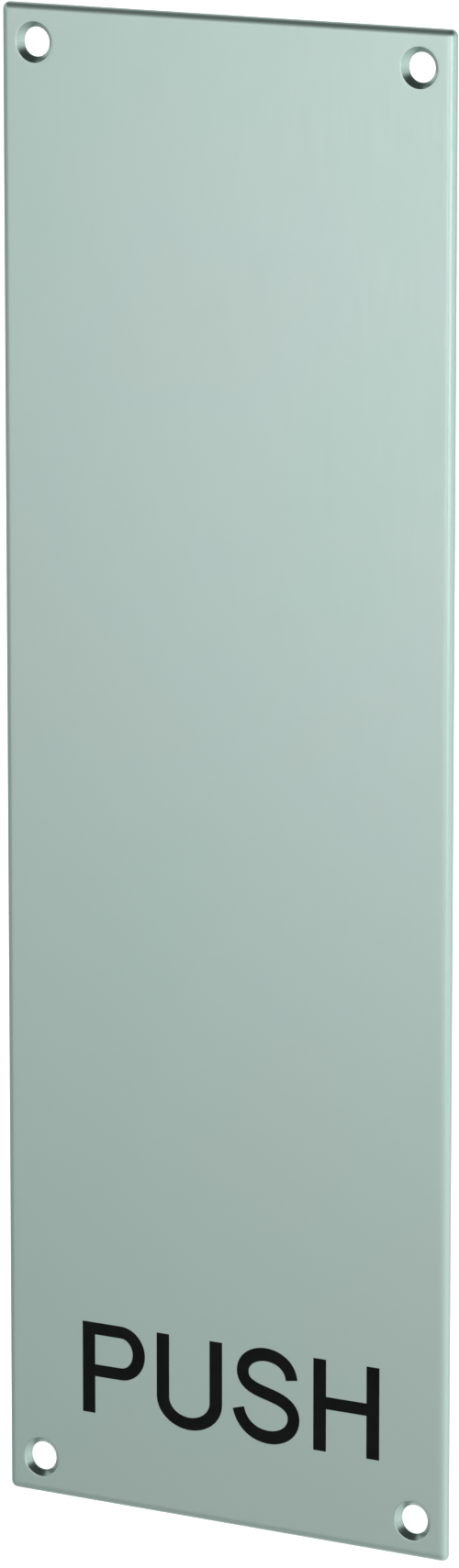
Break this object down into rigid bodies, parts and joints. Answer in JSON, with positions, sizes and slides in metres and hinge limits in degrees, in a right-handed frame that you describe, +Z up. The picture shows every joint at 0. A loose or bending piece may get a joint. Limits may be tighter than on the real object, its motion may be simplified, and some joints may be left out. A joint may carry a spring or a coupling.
{
  "type": "door finger plate",
  "caption": "Flat upright rectangular push plate of satin metal with a rounded front edge, screwed to a door through countersunk holes in its corners.",
  "frame": {"origin": "centre of the back face, which lies against the door", "axes": "+Z up the door along the plate's height, +X across the door along its width, +Y out of the back face into the door, so that the front faces -Y"},
  "size_m": [0.1, 0.0015, 0.3],
  "materials": {
    "satin_steel": "satin",
    "black_enamel": "satin black"
  },
  "bodies": {
    "root": {"finger_plate": "satin_steel"}
  },
  "joints": []
}
